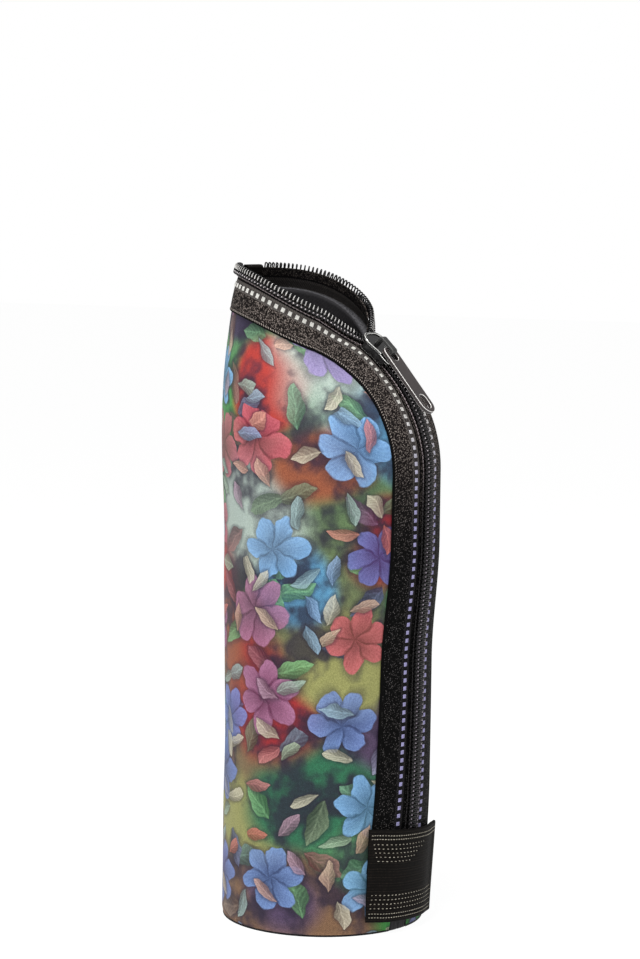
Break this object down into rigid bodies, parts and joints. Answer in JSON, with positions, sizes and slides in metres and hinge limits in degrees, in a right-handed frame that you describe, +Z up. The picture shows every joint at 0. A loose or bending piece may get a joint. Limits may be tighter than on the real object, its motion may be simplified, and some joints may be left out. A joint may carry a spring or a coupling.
{
  "type": "zip-up bottle carrier",
  "caption": "Slim insulated bottle sleeve with a round base, a long coil zip up the front and round the slanted mouth, and a flat pull tab.",
  "frame": {"origin": "centre of the round base at the underside, on the axis of the sleeve's foot", "axes": "+Z up along the sleeve, -Y towards the zip, +X to the right seen from the zip"},
  "size_m": [0.0889, 0.0951, 0.2741],
  "materials": {
    "print_fabric": "printed knitted polyester jersey, matt with a soft sheen",
    "foam": "closed-cell foam rubber",
    "lining_fabric": "black knitted lining, matt",
    "black_fabric": "black knitted fabric, matt",
    "zip_tape": "black crepe-woven polyester tape",
    "coil_nylon": "black nylon filament, glossy",
    "cord": "twisted filler cord",
    "thread": "grey sewing thread",
    "webbing": "black woven webbing",
    "slider_metal": "black enamelled zinc, satin",
    "pull_metal": "dark gunmetal enamel, satin"
  },
  "bodies": {
    "sleeve": {"outer_fabric": "print_fabric", "foam_panel": "foam", "lining": "lining_fabric", "base_fabric": "black_fabric", "base_foam": "foam", "base_lining": "lining_fabric", "base_binding": "black_fabric", "seam_strip": "black_fabric", "left_zip_tape": "zip_tape", "right_zip_tape": "zip_tape", "left_coil": "coil_nylon", "right_coil": "coil_nylon", "left_core_cord": "cord", "right_core_cord": "cord", "left_coil_thread": "thread", "right_coil_thread": "thread", "top_end_cover": "webbing", "end_tab": "webbing"},
    "slider": {"slider_body": "slider_metal"},
    "pull": {"pull_tab": "pull_metal"}
  },
  "joints": [
    {"name": "slider_travel", "type": "hinge", "parent": "sleeve", "child": "slider", "pos_m": [0, 0.02439, 0.18029], "axis": [1, 0, 0], "range_deg": [0, 30], "deforming": ["left_zip_tape", "right_zip_tape", "left_coil", "right_coil", "left_core_cord", "right_core_cord", "left_coil_thread", "right_coil_thread"]},
    {"name": "pull_tab_pivot", "type": "hinge", "parent": "slider", "child": "pull", "pos_m": [0, -0.02932, 0.23933], "axis": [-1, 0, 0], "range_deg": [0, 150]}
  ]
}
